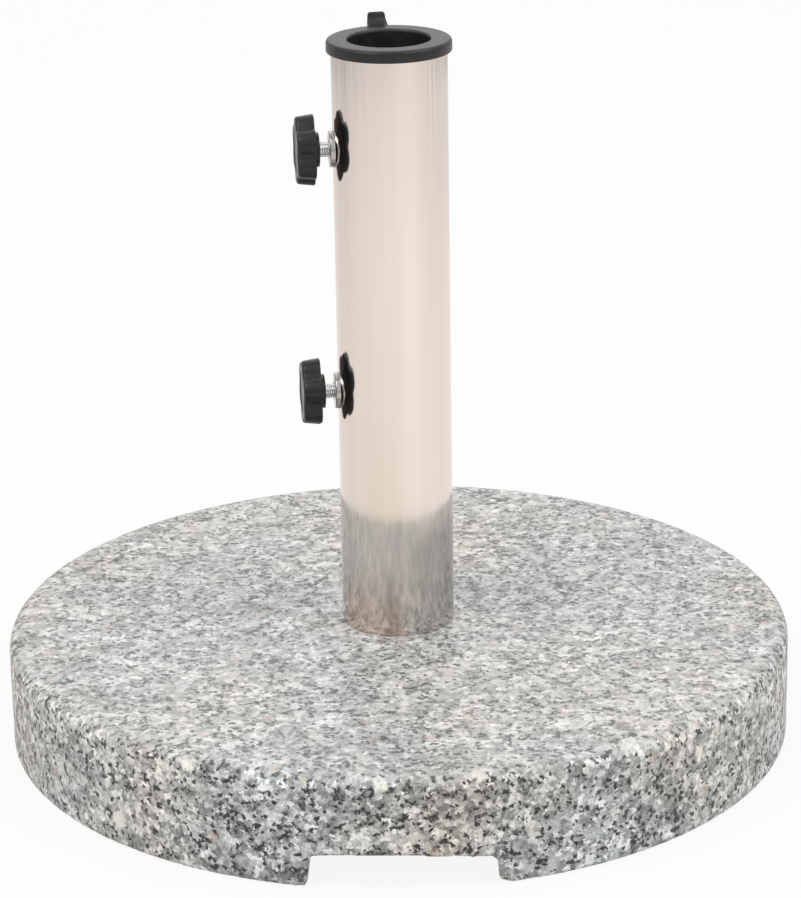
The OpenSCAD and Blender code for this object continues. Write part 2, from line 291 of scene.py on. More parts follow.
def granite_material():
    """Grey granite: a mosaic of pale feldspar and smoky quartz, clusters of dark mica, and some large
    white and pink grains. The top is ground smooth, and its colour carries painted sheen: less contrast
    and fainter dark specks than the sawn side. The side's front shows more contrast than its ends."""
    s = Shader("granite")
    point = s.position()

    def pushed(vector, warp, reach):
        """The vector moved by coloured noise, by up to half the reach in millimetres each way."""
        shift = s.add("VectorMath", {0: warp.outputs["Color"], 1: (0.5, 0.5, 0.5)}, operation="SUBTRACT")
        shift = s.add("VectorMath", {0: shift.outputs[0], "Scale": reach}, operation="SCALE")
        return s.add("VectorMath", {0: vector, 1: shift.outputs[0]}, operation="ADD").outputs[0]

    bent = pushed(point, s.noise(point, 1.8, 3.0, 0.6), 3.4)
    bent = pushed(bent, s.noise(point, 0.55, 2.0), 1.5)

    def grains(size):
        """Cells of about a size in millimetres, and three random values for each."""
        cells = s.add("TexVoronoi", {"Vector": bent, "Scale": 1 / size}, feature="F1")
        return cells, s.add("SeparateColor", {0: cells.outputs["Color"]}).outputs

    def tone(colour, contrast, gain):
        """The colour to a power, then brightened."""
        curve = s.add("Gamma", {"Color": colour, "Gamma": contrast}).outputs[0]
        return s.mix(1.0, curve, (gain, gain, gain), "MULTIPLY")

    def above(value, level, sharpness):
        """0 below the level, rising to 1 above it."""
        return s.times(s.minus(value, level), sharpness, clamp=True)

    facing = s.add("SeparateXYZ", {0: s.add("NewGeometry").outputs["Normal"]}).outputs[2]
    # The top is ground smoother and less bumpy, and its colour also carries painted sheen.
    top_finish_and_sheen = s.times(s.minus(facing, 0.45), 2.0, clamp=True)
    # painted sheen: the dark specks are a little fainter on the top
    sheen_speck_fade = s.minus(1.0, s.times(top_finish_and_sheen, 0.12))
    mosaic_value = grains(MOSAIC_SIZE)[1]
    fine_value = grains(FINE_SIZE)[1]
    coarse_part = s.times(mosaic_value[0], 0.66)
    fine_part = s.times(fine_value[1], 0.34)
    colour = s.ramp(s.plus(coarse_part, fine_part), STONE_TONES)
    cluster = s.noise(point, 9.0, 3.0).outputs[0]
    gather = s.times(s.minus(cluster, 0.5), 0.55)
    smoky = above(s.plus(s.noise(bent, 4.2, 3.0).outputs[0], gather), 0.52, 9.0)
    colour = s.mix(s.times(smoky, 0.50), colour, SMOKY_QUARTZ)
    mica = above(s.plus(s.noise(bent, 2.1, 3.0, 0.6).outputs[0], gather), 0.60, 14.0)
    mica = s.times(mica, s.times(sheen_speck_fade, 0.7))
    colour = s.mix(mica, colour, MICA_CLUSTER)
    flake_value = grains(FLAKE_SIZE)[1]
    dark_share = s.plus(0.15, s.times(gather, 1.3))
    flake = s.math("LESS_THAN", flake_value[0], dark_share)
    flake = s.times(flake, s.times(sheen_speck_fade, 0.92))
    colour = s.mix(flake, colour, MICA_FLAKE)

    def patches(size, share, reach):
        """Mask of rare blobs: a share of the cells, out to part of the cell's size."""
        cells, value = grains(size)
        chosen = s.math("LESS_THAN", value[2], share)
        near = s.minus(1.0, s.math("DIVIDE", cells.outputs["Distance"], reach), clamp=True)
        return s.times(chosen, s.times(near, 5.0, clamp=True))

    colour = s.mix(s.times(patches(WHITE_SIZE, 0.11, 0.34), 0.66), colour, WHITE_FELDSPAR)
    colour = s.mix(s.times(patches(PINK_SIZE, 0.04, 0.36), 0.5), colour, PINK_FELDSPAR)
    across = s.add("SeparateXYZ", {0: point}).outputs[0]
    drift = s.minus(s.noise(point, 110.0, 2.0).outputs[0], s.times(across, 0.0004))
    tint = s.ramp(drift, [(0.36, (0.975, 0.985, 1.0)), (0.5, (1, 1, 1)), (0.68, (1.05, 1.0, 0.965))])
    colour = s.mix(1.0, colour, tint, "MULTIPLY")
    shade = s.ramp(s.noise(point, 30.0, 3.0).outputs[0], [(0.3, 0.88), (0.7, 1.12)])
    colour = s.mix(1.0, colour, shade, "MULTIPLY")

    # less contrast towards the side's left and right ends
    side_end_share = s.math("DIVIDE", s.minus(s.math("ABSOLUTE", across), 95.0), 80.0, clamp=True)
    side = s.mix(side_end_share, tone(colour, SIDE_CONTRAST, SIDE_GAIN), tone(colour, SIDE_END_CONTRAST, SIDE_END_GAIN))
    # painted sheen: the top gets a softer tone than the side
    colour = s.mix(top_finish_and_sheen, side, tone(colour, TOP_SHEEN_CONTRAST, TOP_SHEEN_GAIN))
    rough = s.minus(0.62, s.times(top_finish_and_sheen, 0.24))
    rough = s.plus(rough, s.times(s.minus(fine_value[0], 0.5), 0.12))
    pits = s.plus(s.noise(point, 0.9, 3.0).outputs[0], s.times(mosaic_value[0], 0.3))
    relief = s.minus(1.0, s.times(top_finish_and_sheen, 0.65))
    return s.done(color=colour, roughness=rough, ior=1.52, normal=s.bump(pits, 0.16, relief))


STEEL_DARK, STEEL_LIGHT = (0.745, 0.70, 0.66), (0.775, 0.73, 0.69)
PAINTED_REFLECTION_STRIPE = (0.27, 0.21, 0.08)         # painted reflection, a paler stripe: its angle from the front, half width and softness
PAINTED_REFLECTION_TINT = (1.025, 1.025, 1.025)
# Painted reflection: a warm stripe on the front left, between the two levels below.
WARM_REFLECTION_STRIPE = (-0.2, 0.5, 0.3)
WARM_REFLECTION_TOP = (185.0, 45.0, 0.3)           # a level in millimetres, its fade and its sway
WARM_REFLECTION_FOOT = (124.0, 4.0, 0.0)
WARM_REFLECTION_TINT = (1.0, 0.985, 0.92)
# Below this level the foot is a little rougher, and its colour takes a painted reflection of the slab.
FOOT_TOP = (108.0, 45.0, 1.0)
SLAB_REFLECTION_COLOUR = (0.34, 0.29, 0.26)
SLAB_REFLECTION_PATCHES = (                          # painted reflections of the slab: stripe, level and tint of the brown, the dark and the darker patch
    ((-0.52, 0.75, 0.25), (98.0, 26.0, 0.5), (0.98, 0.86, 0.79)),
    ((-0.1, 0.16, 0.1), (100.0, 20.0, 0.4), (0.82, 0.81, 0.81)),
    ((1.3, 1.2, 0.4), (122.0, 10.0, 0.1), (0.76, 0.76, 0.77)))


def polished_steel_material():
    """Mirror-polished stainless tube, with faint lengthwise drawing and polishing marks, a painted paler
    stripe and a painted warm stripe that stand for reflections. Its foot is a little rougher, and its
    colour there is a painted reflection of the slab: brownish on the left of the front, and darker on
    the right."""
    s = Shader("polished_steel")
    axes = s.add("SeparateXYZ", {0: s.position()}).outputs
    height = axes[2]
    turn = s.math("ARCTAN2", axes[0], s.times(axes[1], -1.0))
    streaks = s.noise(s.position((1, 1, 0.012)), 3.0, 3.0).outputs[0]
    broad = s.noise(s.position((1, 1, 0.05)), 14.0, 2.0).outputs[0]
    smudge = s.noise(s.position(), 30.0, 4.0).outputs[0]
    streak_sway = s.times(s.minus(streaks, 0.5), 60.0)

    def stripe(middle, half, soft):
        """Mask of a lengthwise stripe round an angle from the front, with soft edges."""
        off = s.math("ABSOLUTE", s.minus(turn, middle))
        return s.math("DIVIDE", s.minus(half, off), soft, clamp=True)

    def below(level, fade, sway):
        """Mask of the tube below a height, faded over some millimetres."""
        depth = s.minus(s.minus(level, height), s.times(streak_sway, sway))
        return s.math("DIVIDE", depth, fade, clamp=True)

    colour = s.mix(s.ramp(broad, [(0.35, 0.0), (0.65, 1.0)]), STEEL_DARK, STEEL_LIGHT)
    # painted reflection: a slightly paler lengthwise stripe on the tube
    colour = s.tint(stripe(*PAINTED_REFLECTION_STRIPE), colour, PAINTED_REFLECTION_TINT)
    above_slab = s.minus(1.0, below(*WARM_REFLECTION_FOOT))
    # painted reflection: a warm tint in the stripe between the two levels
    warm = s.times(stripe(*WARM_REFLECTION_STRIPE), s.times(below(*WARM_REFLECTION_TOP), above_slab))
    colour = s.tint(warm, colour, WARM_REFLECTION_TINT)
    # the foot: a little rougher, with a painted reflection of the slab in its colour
    near_foot = below(*FOOT_TOP)
    colour = s.mix(s.times(near_foot, 0.12), colour, SLAB_REFLECTION_COLOUR)
    # painted reflections of the slab: brown on the front left, darker on the front and on the right
    for band, level, tint in SLAB_REFLECTION_PATCHES:
        colour = s.tint(s.times(stripe(*band), below(*level)), colour, tint)
    rough = s.plus(0.085, s.times(streaks, 0.04))
    rough = s.plus(rough, s.times(s.ramp(smudge, [(0.5, 0.0), (0.75, 1.0)]), 0.03))
    rough = s.plus(rough, s.times(near_foot, 0.03))
    return s.done(color=colour, metallic=1.0, roughness=rough, normal=s.bump(streaks, 0.003))


def plated_material(name, colour, roughness, wear):
    """Plated or rolled steel, with soft mottling and a little grain."""
    s = Shader(name)
    mottle = s.noise(s.position(), 5.0, 4.0).outputs[0]
    grain = s.noise(s.position(), 0.35, 2.0).outputs[0]
    dark = tuple(c * (1 - wear) for c in colour)
    tone = s.mix(s.ramp(mottle, [(0.35, 0.0), (0.65, 1.0)]), dark, colour)
    rough = s.plus(roughness, s.times(s.minus(mottle, 0.5), 0.15))
    return s.done(color=tone, metallic=1.0, roughness=rough, normal=s.bump(grain, 0.01))


def weld_material():
    """A dull bead with heat tint."""
    s = Shader("weld")
    ripple = s.noise(s.position(), 2.0, 3.0).outputs[0]
    tint = s.ramp(ripple, [
        (0.3, (0.20, 0.17, 0.16)), (0.55, (0.36, 0.33, 0.31)), (0.75, (0.36, 0.30, 0.22))])
    return s.done(color=tint, metallic=1.0, roughness=0.45, normal=s.bump(ripple, 0.2))


def plastic_material(name, colour, roughness, grain_height):
    """Moulded black plastic: a fine spark-eroded texture, soft dust and slight gloss variation."""
    s = Shader(name)
    texture = s.noise(s.position(), 0.28, 2.0).outputs[0]
    mottle = s.noise(s.position(), 6.0, 4.0).outputs[0]
    pale = tuple(c * 1.35 + 0.004 for c in colour)
    tone = s.mix(s.ramp(mottle, [(0.4, 0.0), (0.7, 1.0)]), colour, pale)
    rough = s.plus(roughness, s.times(s.minus(mottle, 0.5), 0.12))
    return s.done(color=tone, roughness=rough, ior=1.42, normal=s.bump(texture, grain_height))


def nylon_material():
    """Undyed nylon, slightly waxy."""
    s = Shader("nylon")
    mottle = s.noise(s.position(), 1.5, 3.0).outputs[0]
    tone = s.ramp(mottle, [(0.3, (0.66, 0.65, 0.60)), (0.7, (0.76, 0.75, 0.71))])
    return s.done(color=tone, roughness=0.42, subsurface=0.15, normal=s.bump(mottle, 0.02))


# ---------------------------------------------------------------- granite slab

SLAB_SEGMENTS = 360
SLAB_TOP_ROUND = 7.0 * MM
SLAB_FOOT_ROUND = 1.8 * MM
CHANNEL_LEFT = 46.7 * MM
CHANNEL_RIGHT = 47.2 * MM
LEFT_DRAFT = 1.5 * MM
RIGHT_DRAFT = 0.3 * MM
CHANNEL_ROUND = 3.0 * MM
WORN_ROUND = 5.0 * MM
WORN_BEVEL = (6.5 * MM, 2.8 * MM)
ROOF_RISE = 0.8 * MM
ROOF_DROP = 1.6 * MM
ROOF_ARCH = 1.95 * MM
CHANNEL_END = 1.1            # this and the share below are of the slab's radius
CHANNEL_SOUND = 0.85         # out to here the channel isn't worn
BOLT_HOLE = 7.0 * MM
STONE_VOXEL = 1.5 * MM
STONE_WEAR = 0.35 * MM
WAVES_PER_METRE = 60
WAVE_DEPTH = 0.25            # this and the depths below are shares of STONE_WEAR
CHIPS_PER_METRE = 330
CHIP_LEVEL = 0.18            # noise below this level makes no chip
CHIP_DEPTH = 2.2
DEEPEST_WEAR = 1.6
EDGE_TILT = 0.93             # a normal's largest part, under which the surface counts as an edge


def channel_outline(roof, wear):
    """The channel's section: leaning walls, rounded corners and flared lower edges. Its roof is flat
    where wear is 0, and out of level and a little arched where it is 1. The right-hand edge is worn."""
    r = CHANNEL_ROUND
    left = [(CHANNEL_LEFT + r, -r)]
    left += arc((CHANNEL_LEFT + r, r), r, -90, -180, 6)
    inner = CHANNEL_LEFT - LEFT_DRAFT
    left += arc((inner - r, roof + wear * ROOF_RISE - r), r, 0, 90, 6)
    wide, tall = WORN_BEVEL
    right = [(CHANNEL_RIGHT + wide + r, -r), (CHANNEL_RIGHT + wide, 0), (CHANNEL_RIGHT, tall)]
    inner = CHANNEL_RIGHT - RIGHT_DRAFT
    right += arc((inner - WORN_ROUND, roof - wear * ROOF_DROP - WORN_ROUND), WORN_ROUND, 0, 90, 8)
    start, end = right[-1], (-left[-1][0], left[-1][1])
    top = []
    for t in np.linspace(0, 1, 11)[1:-1]:
        arch = wear * ROOF_ARCH * 4 * t * (1 - t)
        top.append((start[0] + (end[0] - start[0]) * t, start[1] + (end[1] - start[1]) * t + arch))
    return right + top + [(-x, z) for x, z in reversed(left)]


def channel_cutter(radius, roof):
    """The channel under the slab as a long solid, worn at both of its mouths."""
    rings = []
    front = ((CHANNEL_END, 1), (1.0, 1), (CHANNEL_SOUND, 0))
    back = [(-share, wear) for share, wear in reversed(front)]
    for share, wear in [*front, *back]:
        rings.append([(x, share * radius, z) for x, z in channel_outline(roof, wear)])
    return loft("channel_cutter", rings)


def make_slab(material):
    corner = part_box("granite_base")[1]
    radius, height = corner.x, corner.z
    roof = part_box("wide_washer")[1].z
    outline = [(radius * share, 0) for share in (0.02, 0.5)]
    outline += arc((radius - SLAB_FOOT_ROUND, SLAB_FOOT_ROUND), SLAB_FOOT_ROUND, -90, 0, 5)
    outline += arc((radius - SLAB_TOP_ROUND, height - SLAB_TOP_ROUND), SLAB_TOP_ROUND, 0, 90, 12)
    outline += [(radius * share, height) for share in (0.5, 0.02)]
    slab = lathe_solid("granite_slab", outline, SLAB_SEGMENTS)
    combine(slab, channel_cutter(radius, roof), "DIFFERENCE")
    hole = [(BOLT_HOLE, -height), (BOLT_HOLE, 2 * height)]
    combine(slab, lathe_solid("hole_cutter", hole, 48), "DIFFERENCE")
    remesh = slab.modifiers.new("even_mesh", "REMESH")
    remesh.mode = "VOXEL"
    remesh.voxel_size = STONE_VOXEL
    bake(slab)
    soften = slab.modifiers.new("soften", "SMOOTH")
    soften.factor = 0.5
    soften.iterations = 4
    bake(slab)
    wear_stone(slab, radius, height)
    slab.data.shade_smooth()
    return finish_piece(slab, "base", "granite", material, "granite_base")


def wear_stone(slab, radius, height):
    """Pulls the surface in by a fraction of a millimetre: shallow waves, and small chips on the edges."""
    mesh = slab.data
    co = vertex_values(mesh, "co")
    normals = vertex_values(mesh, "normal")
    tilt = np.abs(normals).max(axis=1)
    depth = np.empty(len(co))
    for i, p in enumerate(co):
        wave = noise.noise(Vector(p) * WAVES_PER_METRE)
        chip = noise.noise(Vector(p) * CHIPS_PER_METRE)
        edge = max(0.0, chip - CHIP_LEVEL) * CHIP_DEPTH * (tilt[i] < EDGE_TILT)
        depth[i] = WAVE_DEPTH * (1 + wave) / 2 + edge
    co -= normals * (np.clip(depth, 0, DEEPEST_WEAR) * STONE_WEAR)[:, None]
    limit = np.hypot(co[:, 0], co[:, 1])
    squeeze = np.minimum(1, radius / np.maximum(limit, 1e-9))
    co[:, :2] *= squeeze[:, None]
    co[:, 2] = np.clip(co[:, 2], 0, height)
    mesh.vertices.foreach_set("co", co.ravel())
    mesh.update()


# ---------------------------------------------------------------- tube and its foot

TUBE_WALL = 1.5 * MM
TUBE_EDGE = 0.3 * MM
TUBE_SEGMENTS = 512
SEAT_DEPTH = 0.8 * MM
SEAT_RADIUS = 9.8 * MM
SEAT_CUT = 10.0 * MM                # height of the solid that cuts the flat, more than it needs
INSERT_SHANK = 5.45 * MM
DRILL_TURN = math.radians(1.7)      # keeps the drill's edges off those of the pressed flat
SCREWS = ("upper", "lower")


def screw_frame(which):
    """Matrix that puts a shape that stands on +Z on a clamping screw's axis, pointing out of the tube."""
    joint = next(j for j in frame["joints"] if j["name"] == which + "_screw_turn")
    out = Vector(joint["axis"])
    up = Vector((0, 0, 1))
    across = up.cross(out)
    turn = Matrix((-up, across, out)).transposed()
    return Matrix.Translation(joint["pos_m"]) @ turn.to_4x4()


def span(node, which):
    """Lowest and highest reach of a CAD node along a clamping screw's axis."""
    back = screw_frame(which).inverted()
    along = [(back @ v.co).z for v in frame["nodes"][node].data.vertices]
    return min(along), max(along)


def radial_normals(piece, radii):
    """Exact normals on the round upright walls, so that reflections in them run true."""
    mesh = piece.data
    mesh.shade_smooth()
    corners = []
    for face in mesh.polygons:
        points = [mesh.vertices[v].co for v in face.vertices]
        on_wall = abs(face.normal.z) < 0.05 and all(
            min(abs(math.hypot(p.x, p.y) - r) for r in radii) < 0.02 * MM for p in points)
        middle = Vector((face.center.x, face.center.y, 0))
        side = 1 if face.normal.dot(middle) > 0 else -1
        for p in points:
            corners.append((Vector((p.x, p.y, 0)) * side).normalized() if on_wall else face.normal)
    mesh.normals_split_custom_set(corners)


def press(solid, which, flat):
    """Cuts a solid back to a flat on an insert's seat."""
    dent = lathe_solid("dent", [(SEAT_RADIUS, flat), (SEAT_RADIUS, flat + SEAT_CUT)], 96)
    dent.data.transform(screw_frame(which))
    return combine(solid, dent, "DIFFERENCE")


def make_tube(material):
    """The tube, with its wall pressed in to a flat under each insert and drilled for the shank."""
    low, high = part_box("support_tube")
    radius, inside = high.x, high.x - TUBE_WALL
    e = TUBE_EDGE
    outline = [(radius - e, low.z), (radius, low.z + e), (radius, high.z - e), (radius - e, high.z)]
    tube = lathe_solid("steel_tube", outline, TUBE_SEGMENTS)
    bore = lathe_solid("bore", [(inside, low.z - 1 * MM), (inside, high.z + 1 * MM)], TUBE_SEGMENTS)
    for which in SCREWS:
        press(tube, which, radius - SEAT_DEPTH)
        press(bore, which, radius - SEAT_DEPTH - TUBE_WALL)
    for which in SCREWS:
        drill = lathe_solid("drill", [(INSERT_SHANK, radius * 0.8), (INSERT_SHANK, radius * 1.2)], 48)
        drill.data.transform(screw_frame(which) @ Matrix.Rotation(DRILL_TURN, 4, "Z"))
        combine(tube, drill, "DIFFERENCE")
    combine(tube, bore, "DIFFERENCE")
    radial_normals(tube, (radius, inside))
    return finish_piece(tube, "base", "polished_steel", material, "support_tube")


def washer(name, radius, bore, low, high, edge):
    """A flat ring with small bevels."""
    outline = [(bore + edge, low), (radius - edge, low), (radius, low + edge), (radius, high - edge)]
    outline += [(radius - edge, high), (bore + edge, high), (bore, high - edge), (bore, low + edge)]
    return lathe(name, outline, 96)


THREAD_STEEPNESS = 1.45             # depth that a flank's line gains over half a pitch, in thread depths
THREAD_CREST = 0.2                  # depth that a flat crest cuts off the flank's line, in thread depths


def thread_rings(radius, root, pitch, low, high, segments=48, steps=12):
    """Rings of a right-handed thread from low to high. Each ring climbs one pitch in a turn."""
    rings = []
    turns = int((high - low) / pitch) + 2
    for j in range(turns * steps + 1):
        phase = (j % steps) / steps
        slope = min(phase, 1 - phase) * 2
        depth = min(1.0, max(0.0, slope * THREAD_STEEPNESS - THREAD_CREST))
        r = radius - (radius - root) * depth
        ring = []
        for i in range(segments):
            climb = (j / steps + i / segments - 1) * pitch
            z = min(max(low + climb, low), high)
            a = 2 * math.pi * i / segments
            ring.append((r * math.cos(a), r * math.sin(a), z))
        rings.append(ring)
    return rings


CHAMFER_CIRCLE = 0.97               # width of a nut's round face, as a share of its width across flats
CHAMFER_SLOPE = math.tan(math.radians(30))
NUT_POINTS = 96


def hexagon_ring(flats, height):
    """A six-sided ring with the same number of points on every side."""
    ring = []
    for a in even_angles(NUT_POINTS):
        r = flats / 2 / math.cos((a % (math.pi / 3)) - math.pi / 6)
        ring.append((r * math.cos(a), r * math.sin(a), height))
    return ring


def chamfer_ring(flats, level, direction):
    """The curved line where a 30 degree cone meets the six sides."""
    ring = []
    for x, y, _ in hexagon_ring(flats, level):
        rise = (math.hypot(x, y) - flats / 2 * CHAMFER_CIRCLE) * CHAMFER_SLOPE
        ring.append((x, y, level + direction * rise))
    return ring


def chamfered_end(flats, level, direction):
    """Rings of a nut's end whose corners are turned off, from the round face to the six sides."""
    face = circle(flats / 2 * CHAMFER_CIRCLE, level, even_angles(NUT_POINTS))
    return [face, chamfer_ring(flats, level, direction)]


BOLT_SHANK = 6.0 * MM
BOLT_ROOT = 5.1 * MM
BOLT_PITCH = 1.75 * MM
BOLT_TIP = 1.0 * MM
BOLT_THREAD_BELOW = 10.0 * MM       # how far the bolt's thread starts below the foot plate
NUT_BORE = 6.05 * MM
NUT_LEAD = 0.7 * MM
PLATE_EDGE = 0.3 * MM
WIDE_WASHER_BORE = 6.5 * MM
WIDE_WASHER_EDGE = 0.35 * MM
SPRING_WASHER_BORE = 6.2 * MM
SPRING_WASHER_EDGE = 0.2 * MM


def make_foot_plate(material):
    low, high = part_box("foot_plate")
    plate = washer("foot_plate_disc", high.x, NUT_BORE, low.z, high.z, PLATE_EDGE)
    return finish_piece(smooth(plate), "base", "raw_steel", material, "foot_plate")


WELD_STEPS = 8
WELD_RIPPLES = 60
WELD_BULGE = 0.18                   # this and the values below are shares of the bead's leg
WELD_FILL = 0.86
WELD_WAVE = 0.10
WELD_UNEVEN = 0.05


def make_weld(material):
    """The rippled bead in the corner between the plate and the tube."""
    low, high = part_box("foot_weld")
    leg = high.z - low.z
    angles = even_angles(240)
    rings = []
    for j in range(WELD_STEPS + 1):
        t = j / WELD_STEPS
        bulge = math.sin(math.pi * t) * WELD_BULGE
        out = (1 - t) + bulge
        rise = t + bulge
        ring = []
        for a in angles:
            uneven = noise.noise(Vector((math.cos(a) * 9, math.sin(a) * 9, 0)))
            ripple = 1 + WELD_WAVE * math.cos(WELD_RIPPLES * a) + WELD_UNEVEN * uneven
            r = high.x - leg * out * ripple * WELD_FILL
            ring.append((r * math.cos(a), r * math.sin(a), low.z + leg * rise * ripple * WELD_FILL))
        rings.append(ring)
    rings += [circle(high.x, low.z + leg * 0.5, angles), circle(high.x, low.z, angles)]
    bead = loft("weld_bead", list(reversed(rings)), closed=True)
    return finish_piece(smooth(bead, 60), "base", "weld", material, "foot_weld")


def make_foot_nut(material):
    low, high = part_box("foot_nut")
    flats = high.y * 2
    angles = even_angles(NUT_POINTS)
    rings = [hexagon_ring(flats, low.z)] + list(reversed(chamfered_end(flats, high.z, -1)))
    rings += [circle(NUT_BORE + NUT_LEAD, high.z, angles), circle(NUT_BORE, high.z - NUT_LEAD, angles)]
    rings += [circle(NUT_BORE, low.z, angles)]
    nut = loft("welded_nut", rings, closed=True)
    return finish_piece(smooth(nut, 20), "base", "zinc", material, "foot_nut")


def make_bolt(material):
    """The bolt, with its chamfered head below, a plain shank and a thread at its top."""
    low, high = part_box("base_bolt")
    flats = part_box("foot_nut")[1].y * 2
    head_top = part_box("spring_washer")[0].z
    thread_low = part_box("foot_plate")[0].z - BOLT_THREAD_BELOW
    angles = even_angles(NUT_POINTS)
    rings = chamfered_end(flats, low.z, 1) + [hexagon_ring(flats, head_top)]
    rings += [circle(BOLT_SHANK, head_top, angles), circle(BOLT_SHANK, thread_low - 1 * MM, angles)]
    rings += thread_rings(BOLT_SHANK, BOLT_ROOT, BOLT_PITCH, thread_low, high.z - BOLT_TIP, NUT_POINTS)
    rings += [circle(BOLT_SHANK - BOLT_TIP, high.z, angles)]
    bolt = loft("hex_bolt", rings)
    return finish_piece(smooth(bolt, 20), "base", "zinc", material, "base_bolt")


def make_wide_washer(material):
    low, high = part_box("wide_washer")
    wide = washer("wide_washer_ring", high.x, WIDE_WASHER_BORE, low.z, high.z, WIDE_WASHER_EDGE)
    return finish_piece(smooth(wide), "base", "zinc", material, "wide_washer")


SPLIT_PLACE = math.radians(40)
SPLIT_GAP = math.radians(9)
SPLIT_LEAN = math.radians(7)
SPRING_STEPS = 72


def make_spring_washer(material):
    """A square-section ring with a slanted split."""
    low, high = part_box("spring_washer")
    outer, bore = high.x, SPRING_WASHER_BORE
    thick = high.z - low.z
    edge = SPRING_WASHER_EDGE
    bevel = edge / thick
    section = [(bore + edge, 0), (outer - edge, 0), (outer, bevel), (outer, 1 - bevel)]
    section += [(outer - edge, 1), (bore + edge, 1), (bore, 1 - bevel), (bore, bevel)]
    rings = []
    for j in range(SPRING_STEPS + 1):
        along = SPLIT_PLACE + SPLIT_GAP / 2 + (2 * math.pi - SPLIT_GAP) * j / SPRING_STEPS
        ring = []
        for r, h in section:
            a = along + SPLIT_LEAN * (h - 0.5)
            ring.append((r * math.cos(a), r * math.sin(a), low.z + thick * h))
        rings.append(ring)
    spring = loft("split_washer", rings)
    return finish_piece(smooth(spring), "base", "zinc", material, "spring_washer")


# ---------------------------------------------------------------- collar

FLANGE_THICKNESS = 6.2 * MM
FLANGE_EDGE = 1.8 * MM
MOUTH_ROUND = 1.4 * MM
SLEEVE_WALL = 2.2 * MM
SLEEVE_LEAD = 0.8 * MM
SLEEVE_EDGE = 0.4 * MM
RIBS = 8
RIB_THICKNESS = 2.0 * MM
RIB_EDGE = 0.5 * MM
RIB_LEAD = 1.5 * MM
RIB_GAP = 0.3 * MM                  # between a rib and the tube's bore
RIB_FOOT = 4.0 * MM                 # from the sleeve's lower end up to the ribs
RIB_OVERLAP = 1.0 * MM              # how far a rib reaches into the sleeve and the flange
POLE_RADIUS = 21.25 * MM
TAB_AZIMUTH = math.radians(100)
TAB_THICKNESS = 2.6 * MM
TAB_WIDTH = 11.5 * MM
TAB_TIP_WIDTH = 8.6 * MM
TAB_REACH = 5.1 * MM
TAB_RISE = 4.7 * MM
TAB_TIP_ROUND = 1.3 * MM
TAB_EDGE = 0.8 * MM
TAB_TIP_ANGLES = np.radians([20, 40, 58, 74, 86])
TAB_ROOT = 2.2 * MM                 # how far the tab reaches back into the flange
TAB_STEPS = 20


def make_collar(material):
    """The collar: a sleeve with ribs in the tube, a flange on the tube's top and a finger tab."""
    low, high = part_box("top_collar")
    tube_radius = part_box("support_tube")[1].x
    tube_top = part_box("support_tube")[1].z
    top = tube_top + FLANGE_THICKNESS
    radius = high.x
    sleeve = POLE_RADIUS + SLEEVE_WALL
    lead, e = SLEEVE_LEAD, SLEEVE_EDGE
    outline = [(POLE_RADIUS + lead, low.z), (sleeve - e, low.z), (sleeve, low.z + e)]
    outline += arc((sleeve + lead, tube_top - lead), lead, 180, 90, 4)
    outline += arc((radius - e, tube_top + e), e, -90, 0, 3)
    outline += arc((radius - FLANGE_EDGE, top - FLANGE_EDGE), FLANGE_EDGE, 0, 90, 8)
    outline += arc((POLE_RADIUS + MOUTH_ROUND, top - MOUTH_ROUND), MOUTH_ROUND, 90, 180, 8)
    outline += [(POLE_RADIUS, low.z + lead)]
    collar = lathe("pole_collar", outline, 192)
    rib_reach = tube_radius - TUBE_WALL - RIB_GAP
    for i in range(RIBS):
        rib = rib_solid(sleeve - RIB_OVERLAP, rib_reach, low.z + RIB_FOOT, tube_top + RIB_OVERLAP)
        rib.data.transform(Matrix.Rotation((i + 0.5) * 2 * math.pi / RIBS, 4, "Z"))
        combine(collar, rib, "UNION")
    combine(collar, tab_solid(radius, top), "UNION")
    smooth(collar, 40)
    return finish_piece(collar, "collar", "collar_plastic", material, "top_collar")


def rib_solid(inner, outer, low, high):
    """A radial rib with rounded outer corners and a bevelled foot."""
    half, r = RIB_THICKNESS / 2, RIB_EDGE
    plan = [(inner, -half)] + arc((outer - r, r - half), r, -90, 0, 3)
    plan += arc((outer - r, half - r), r, 0, 90, 3) + [(inner, half)]
    rings = [[(x - RIB_LEAD if x > (inner + outer) / 2 else x, y, low) for x, y in plan]]
    rings += [[(x, y, z) for x, y in plan] for z in (low + 2 * RIB_LEAD, high)]
    return loft("rib", rings)


